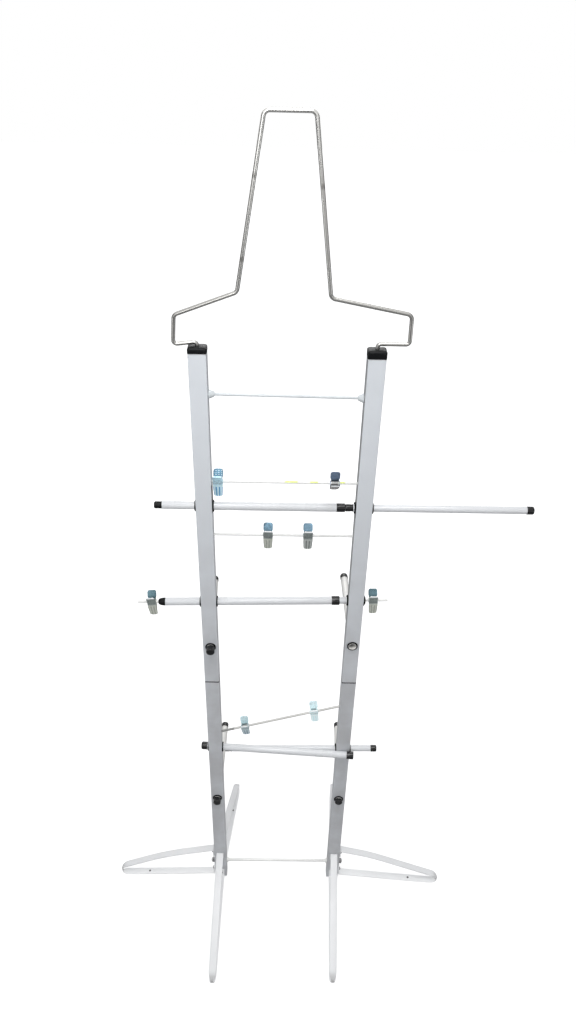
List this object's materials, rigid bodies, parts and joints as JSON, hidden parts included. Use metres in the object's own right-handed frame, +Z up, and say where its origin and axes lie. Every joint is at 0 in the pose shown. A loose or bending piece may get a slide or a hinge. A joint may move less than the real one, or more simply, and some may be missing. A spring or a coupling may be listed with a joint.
{
  "type": "gear rack",
  "caption": "Free-standing rack with two square posts on hairpin legs, sliding cross arms, rods that carry spring clips, and a shoulder-shaped wire hanger on top.",
  "frame": {"origin": "on the floor, at the middle of the rack's outer box seen from above", "axes": "+Z up, -Y towards the viewer in front, +X to the viewer's right, along the side arms"},
  "size_m": [1.0224, 0.6584, 2.1445],
  "materials": {
    "post_paint": "satin pale blue-grey",
    "tube_paint": "satin white",
    "leg_paint": "satin white",
    "rod_paint": "satin white",
    "black_plastic": "matt black",
    "bright_wire": "bright",
    "zinc_plate": "zinc plated",
    "bolt_steel": "dark steel"
  },
  "bodies": {
    "stand": {"post_lower_left": "post_paint", "post_upper_left": "post_paint", "post_sleeve_left": "post_paint", "post_cap_left": "black_plastic", "tie_rod_nut_left": "bolt_steel", "leg_front_left": "leg_paint", "leg_rear_left": "leg_paint", "leg_side_left": "leg_paint", "post_lower_right": "post_paint", "post_upper_right": "post_paint", "post_sleeve_right": "post_paint", "post_cap_right": "black_plastic", "tie_rod_nut_right": "bolt_steel", "leg_front_right": "leg_paint", "leg_rear_right": "leg_paint", "leg_side_right": "leg_paint", "tie_rod_lower": "rod_paint", "tie_rod_upper": "rod_paint", "rail_1": "rod_paint", "rail_2": "rod_paint", "rail_4": "rod_paint"},
    "hanger": {"hanger": "bright_wire"},
    "arm_a_left": {"arm_a_left": "tube_paint", "arm_a_left_cap": "black_plastic"},
    "arm_a_right": {"arm_a_right": "tube_paint", "arm_a_right_cap": "black_plastic"},
    "arm_b_left": {"arm_b_left": "tube_paint", "arm_b_left_cap": "black_plastic", "rail_3_left": "rod_paint"},
    "arm_b_right": {"arm_b_right": "tube_paint", "arm_b_right_cap": "black_plastic", "rail_3_right": "rod_paint"},
    "arm_c_left": {"arm_c_left": "tube_paint", "arm_c_left_cap": "black_plastic"},
    "arm_c_right": {"arm_c_right": "tube_paint", "arm_c_right_cap": "black_plastic"},
    "arm_d_left": {"arm_d_left": "tube_paint", "arm_d_left_cap": "black_plastic"},
    "arm_d_right": {"arm_d_right": "tube_paint", "arm_d_right_cap": "black_plastic"},
    "arm_e_left": {"arm_e_left": "tube_paint", "arm_e_left_cap": "black_plastic"},
    "arm_e_right": {"arm_e_right": "tube_paint", "arm_e_right_cap": "black_plastic"},
    "clip_1": {"clip_1_back": "zinc_plate"},
    "clip_1_jaw": {"clip_1_front": "zinc_plate"},
    "clip_2": {"clip_2_back": "zinc_plate"},
    "clip_2_jaw": {"clip_2_front": "zinc_plate"},
    "clip_3": {"clip_3_back": "zinc_plate"},
    "clip_3_jaw": {"clip_3_front": "zinc_plate"},
    "clip_4": {"clip_4_back": "zinc_plate"},
    "clip_4_jaw": {"clip_4_front": "zinc_plate"},
    "clip_5": {"clip_5_back": "zinc_plate"},
    "clip_5_jaw": {"clip_5_front": "zinc_plate"},
    "clip_6": {"clip_6_back": "zinc_plate"},
    "clip_6_jaw": {"clip_6_front": "zinc_plate"},
    "clip_7": {"clip_7_back": "zinc_plate"},
    "clip_7_jaw": {"clip_7_front": "zinc_plate"},
    "clip_8": {"clip_8_back": "zinc_plate"},
    "clip_8_jaw": {"clip_8_front": "zinc_plate"}
  },
  "joints": [
    {"name": "hanger_lift", "type": "slide", "parent": "stand", "child": "hanger", "axis": [0, 0, 1], "range_m": [0, 0.06]},
    {"name": "arm_a_left_slide", "type": "slide", "parent": "stand", "child": "arm_a_left", "axis": [-1, 0, 0], "range_m": [-0.0195, 0.263]},
    {"name": "arm_a_right_slide", "type": "slide", "parent": "stand", "child": "arm_a_right", "axis": [1, 0, 0], "range_m": [-0.332, 0.001]},
    {"name": "arm_b_left_slide", "type": "slide", "parent": "stand", "child": "arm_b_left", "axis": [-0.9997, 0, -0.0262], "range_m": [-0.0162, 0.266]},
    {"name": "arm_b_right_slide", "type": "slide", "parent": "stand", "child": "arm_b_right", "axis": [0.9997, 0, 0.0262], "range_m": [0, 0.347]},
    {"name": "arm_c_left_slide", "type": "slide", "parent": "stand", "child": "arm_c_left", "axis": [-0.9971, 0.0762, -0.0078], "range_m": [-0.0005, 0.331]},
    {"name": "arm_c_right_slide", "type": "slide", "parent": "stand", "child": "arm_c_right", "axis": [0.9985, -0.025, 0.0489], "range_m": [-0.004, 0.278]},
    {"name": "arm_d_left_slide", "type": "slide", "parent": "stand", "child": "arm_d_left", "axis": [-0.0375, 0.9993, 0], "range_m": [-0.222, 0]},
    {"name": "arm_d_right_slide", "type": "slide", "parent": "stand", "child": "arm_d_right", "axis": [-0.0135, 0.9999, 0], "range_m": [-0.229, 0]},
    {"name": "arm_e_left_slide", "type": "slide", "parent": "stand", "child": "arm_e_left", "axis": [0.0177, 0.9998, 0], "range_m": [-0.223, 0]},
    {"name": "arm_e_right_slide", "type": "slide", "parent": "stand", "child": "arm_e_right", "axis": [0.0405, 0.9992, 0], "range_m": [-0.228, 0]},
    {"name": "clip_1_slide", "type": "slide", "parent": "stand", "child": "clip_1", "axis": [1, 0, 0], "range_m": [-0.002, 0.2255]},
    {"name": "clip_1_jaw_hinge", "type": "hinge", "parent": "clip_1", "child": "clip_1_jaw", "pos_m": [-0.17032, -0.006, 1.4373], "axis": [-1, 0, 0], "range_deg": [0, 35], "stiffness_Nm_per_rad": 0.05, "springref_deg": -20.05},
    {"name": "clip_2_slide", "type": "slide", "parent": "stand", "child": "clip_2", "axis": [1, 0, 0], "range_m": [-0.2255, 0.0362]},
    {"name": "clip_2_jaw_hinge", "type": "hinge", "parent": "clip_2", "child": "clip_2_jaw", "pos_m": [0.07678, -0.006, 1.4373], "axis": [-1, 0, 0], "range_deg": [0, 35], "stiffness_Nm_per_rad": 0.05, "springref_deg": -20.05},
    {"name": "clip_3_slide", "type": "slide", "parent": "stand", "child": "clip_3", "axis": [1, 0, 0], "range_m": [-0.108, 0.067]},
    {"name": "clip_3_jaw_hinge", "type": "hinge", "parent": "clip_3", "child": "clip_3_jaw", "pos_m": [-0.06392, -0.006, 1.301], "axis": [-1, 0, 0], "range_deg": [0, 35], "stiffness_Nm_per_rad": 0.05, "springref_deg": -20.05},
    {"name": "clip_4_slide", "type": "slide", "parent": "stand", "child": "clip_4", "axis": [1, 0, 0], "range_m": [-0.067, 0.0885]},
    {"name": "clip_4_jaw_hinge", "type": "hinge", "parent": "clip_4", "child": "clip_4_jaw", "pos_m": [0.02438, -0.006, 1.301], "axis": [-1, 0, 0], "range_deg": [0, 35], "stiffness_Nm_per_rad": 0.05, "springref_deg": -20.05},
    {"name": "clip_5_slide", "type": "slide", "parent": "arm_b_left", "child": "clip_5", "axis": [-0.9997, 0, -0.0262], "range_m": [-0.0035, 0.022]},
    {"name": "clip_5_jaw_hinge", "type": "hinge", "parent": "clip_5", "child": "clip_5_jaw", "pos_m": [-0.33447, -0.006, 1.105], "axis": [-0.9954, -0.0061, -0.0956], "range_deg": [0, 35], "stiffness_Nm_per_rad": 0.05, "springref_deg": -20.05},
    {"name": "clip_6_slide", "type": "slide", "parent": "arm_b_right", "child": "clip_6", "axis": [0.9997, 0, 0.0262], "range_m": [-0.0075, 0.023]},
    {"name": "clip_6_jaw_hinge", "type": "hinge", "parent": "clip_6", "child": "clip_6_jaw", "pos_m": [0.18307, -0.006, 1.11858], "axis": [-0.9997, 0, -0.0262], "range_deg": [0, 35], "stiffness_Nm_per_rad": 0.05, "springref_deg": -20.05},
    {"name": "clip_7_slide", "type": "slide", "parent": "stand", "child": "clip_7", "axis": [0.9507, 0, 0.31], "range_m": [-0.047, 0.168]},
    {"name": "clip_7_jaw_hinge", "type": "hinge", "parent": "clip_7", "child": "clip_7_jaw", "pos_m": [-0.12112, -0.006, 0.68142], "axis": [-0.9507, 0, -0.31], "range_deg": [0, 35], "stiffness_Nm_per_rad": 0.05, "springref_deg": -20.05},
    {"name": "clip_8_slide", "type": "slide", "parent": "stand", "child": "clip_8", "axis": [0.9507, 0, 0.31], "range_m": [-0.168, 0.045]},
    {"name": "clip_8_jaw_hinge", "type": "hinge", "parent": "clip_8", "child": "clip_8_jaw", "pos_m": [0.05928, -0.006, 0.74024], "axis": [-0.9507, 0, -0.31], "range_deg": [0, 35], "stiffness_Nm_per_rad": 0.05, "springref_deg": -20.05}
  ]
}
